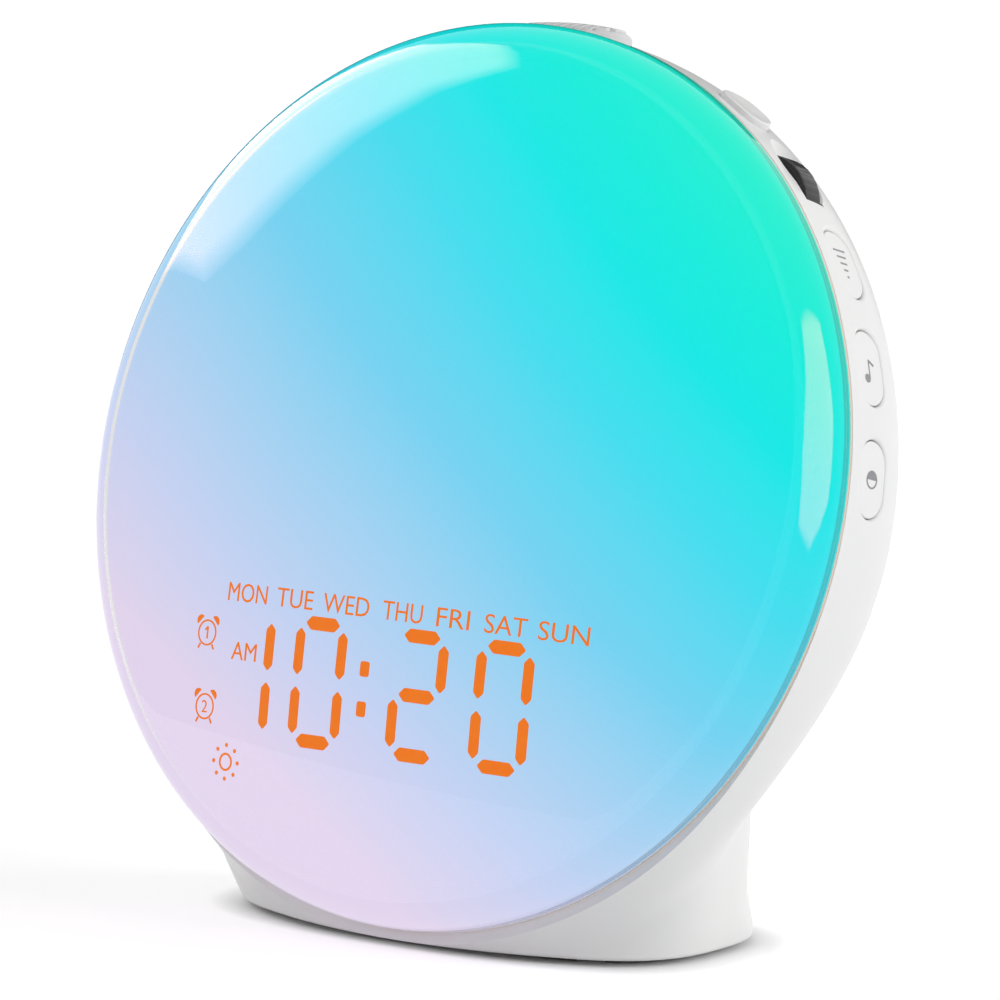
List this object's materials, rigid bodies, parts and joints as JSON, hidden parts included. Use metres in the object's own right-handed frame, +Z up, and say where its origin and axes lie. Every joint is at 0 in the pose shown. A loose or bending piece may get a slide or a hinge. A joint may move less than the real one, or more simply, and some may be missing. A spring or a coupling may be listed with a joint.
{
  "type": "sunrise alarm clock",
  "caption": "Sunrise alarm clock: round domed light face with lit digits, leaning back on a bowl housing with a flared foot, keys and a volume wheel on the rim.",
  "frame": {"origin": "centre of the rubber pad's underside, on the table", "axes": "+Z up; -Y towards the person who faces the clock; +X to that person's right"},
  "size_m": [0.18, 0.0858, 0.1778],
  "materials": {
    "housing_abs": "satin-gloss moulded",
    "clear_acrylic": "clear, polished",
    "seal_foam": "matte",
    "milky_acrylic": "milky, matte",
    "white_abs": "satin moulded",
    "key_abs": "satin moulded",
    "zinc_steel": "zinc plated",
    "white_board": "white solder mask",
    "led": "clear resin over phosphor",
    "green_board": "green solder mask",
    "black_abs": "satin moulded",
    "black_epoxy": "matte",
    "digit_light": "lit from behind",
    "speaker_steel": "matte black",
    "speaker_paper": "pressed paper",
    "foot_rubber": "matte",
    "contact_brass": "plated"
  },
  "bodies": {
    "base": {"housing": "housing_abs", "face_cover": "clear_acrylic", "cover_seal": "seal_foam", "diffuser": "milky_acrylic", "light_frame": "white_abs", "frame_screws": "zinc_steel", "light_board": "white_board", "light_leds": "led", "display_board": "green_board", "display_block": "black_abs", "digit_bars": "digit_light", "main_board": "green_board", "board_screws": "zinc_steel", "main_chips": "black_epoxy", "key_switches": "black_epoxy", "volume_pot": "black_epoxy", "speaker_grille": "white_abs", "speaker_frame": "speaker_steel", "speaker_cone": "speaker_paper", "speaker_magnet": "speaker_steel", "speaker_screws": "zinc_steel", "power_socket": "black_abs", "socket_pin": "zinc_steel", "base_plate": "white_abs", "base_screws": "zinc_steel", "foot_pad": "foot_rubber", "cell_contact": "contact_brass"},
    "snooze_pad": {"snooze_pad": "key_abs"},
    "lamp_key": {"lamp_key": "key_abs"},
    "radio_key": {"radio_key": "key_abs"},
    "sound_key": {"sound_key": "key_abs"},
    "dimmer_key": {"dimmer_key": "key_abs"},
    "alarm_one_key": {"alarm_one_key": "key_abs"},
    "alarm_two_key": {"alarm_two_key": "key_abs"},
    "colour_key": {"colour_key": "key_abs"},
    "volume_wheel": {"volume_wheel": "black_abs"},
    "battery_door": {"battery_door": "white_abs", "coin_cell": "zinc_steel"}
  },
  "joints": [
    {"name": "snooze_pad_press", "type": "slide", "parent": "base", "child": "snooze_pad", "axis": [0, -0.2656, -0.9641], "range_m": [0, 0.001], "stiffness_N_per_m": 800, "springref_m": -0.0005},
    {"name": "lamp_key_press", "type": "slide", "parent": "base", "child": "lamp_key", "axis": [-0.5075, -0.2288, -0.8307], "range_m": [0, 0.0008], "stiffness_N_per_m": 800, "springref_m": -0.0005},
    {"name": "radio_key_press", "type": "slide", "parent": "base", "child": "radio_key", "axis": [-0.8339, -0.1466, -0.5321], "range_m": [0, 0.0008], "stiffness_N_per_m": 800, "springref_m": -0.0005},
    {"name": "sound_key_press", "type": "slide", "parent": "base", "child": "sound_key", "axis": [-0.9426, -0.0886, -0.3218], "range_m": [0, 0.0008], "stiffness_N_per_m": 800, "springref_m": -0.0005},
    {"name": "dimmer_key_press", "type": "slide", "parent": "base", "child": "dimmer_key", "axis": [-0.9954, -0.0255, -0.0924], "range_m": [0, 0.0008], "stiffness_N_per_m": 800, "springref_m": -0.0005},
    {"name": "alarm_one_key_press", "type": "slide", "parent": "base", "child": "alarm_one_key", "axis": [0.8339, -0.1466, -0.5321], "range_m": [0, 0.0008], "stiffness_N_per_m": 800, "springref_m": -0.0005},
    {"name": "alarm_two_key_press", "type": "slide", "parent": "base", "child": "alarm_two_key", "axis": [0.9426, -0.0886, -0.3218], "range_m": [0, 0.0008], "stiffness_N_per_m": 800, "springref_m": -0.0005},
    {"name": "colour_key_press", "type": "slide", "parent": "base", "child": "colour_key", "axis": [0.9954, -0.0255, -0.0924], "range_m": [0, 0.0008], "stiffness_N_per_m": 800, "springref_m": -0.0005},
    {"name": "volume_turn", "type": "hinge", "parent": "base", "child": "volume_wheel", "pos_m": [0.05638, 0.0141, 0.14511], "axis": [0, -0.9641, 0.2656], "range_deg": [-140, 140]},
    {"name": "battery_door_turn", "type": "hinge", "parent": "base", "child": "battery_door", "pos_m": [-0.02, 0, 0.002], "axis": [0, 0, 1], "range_deg": [0, 45]}
  ]
}
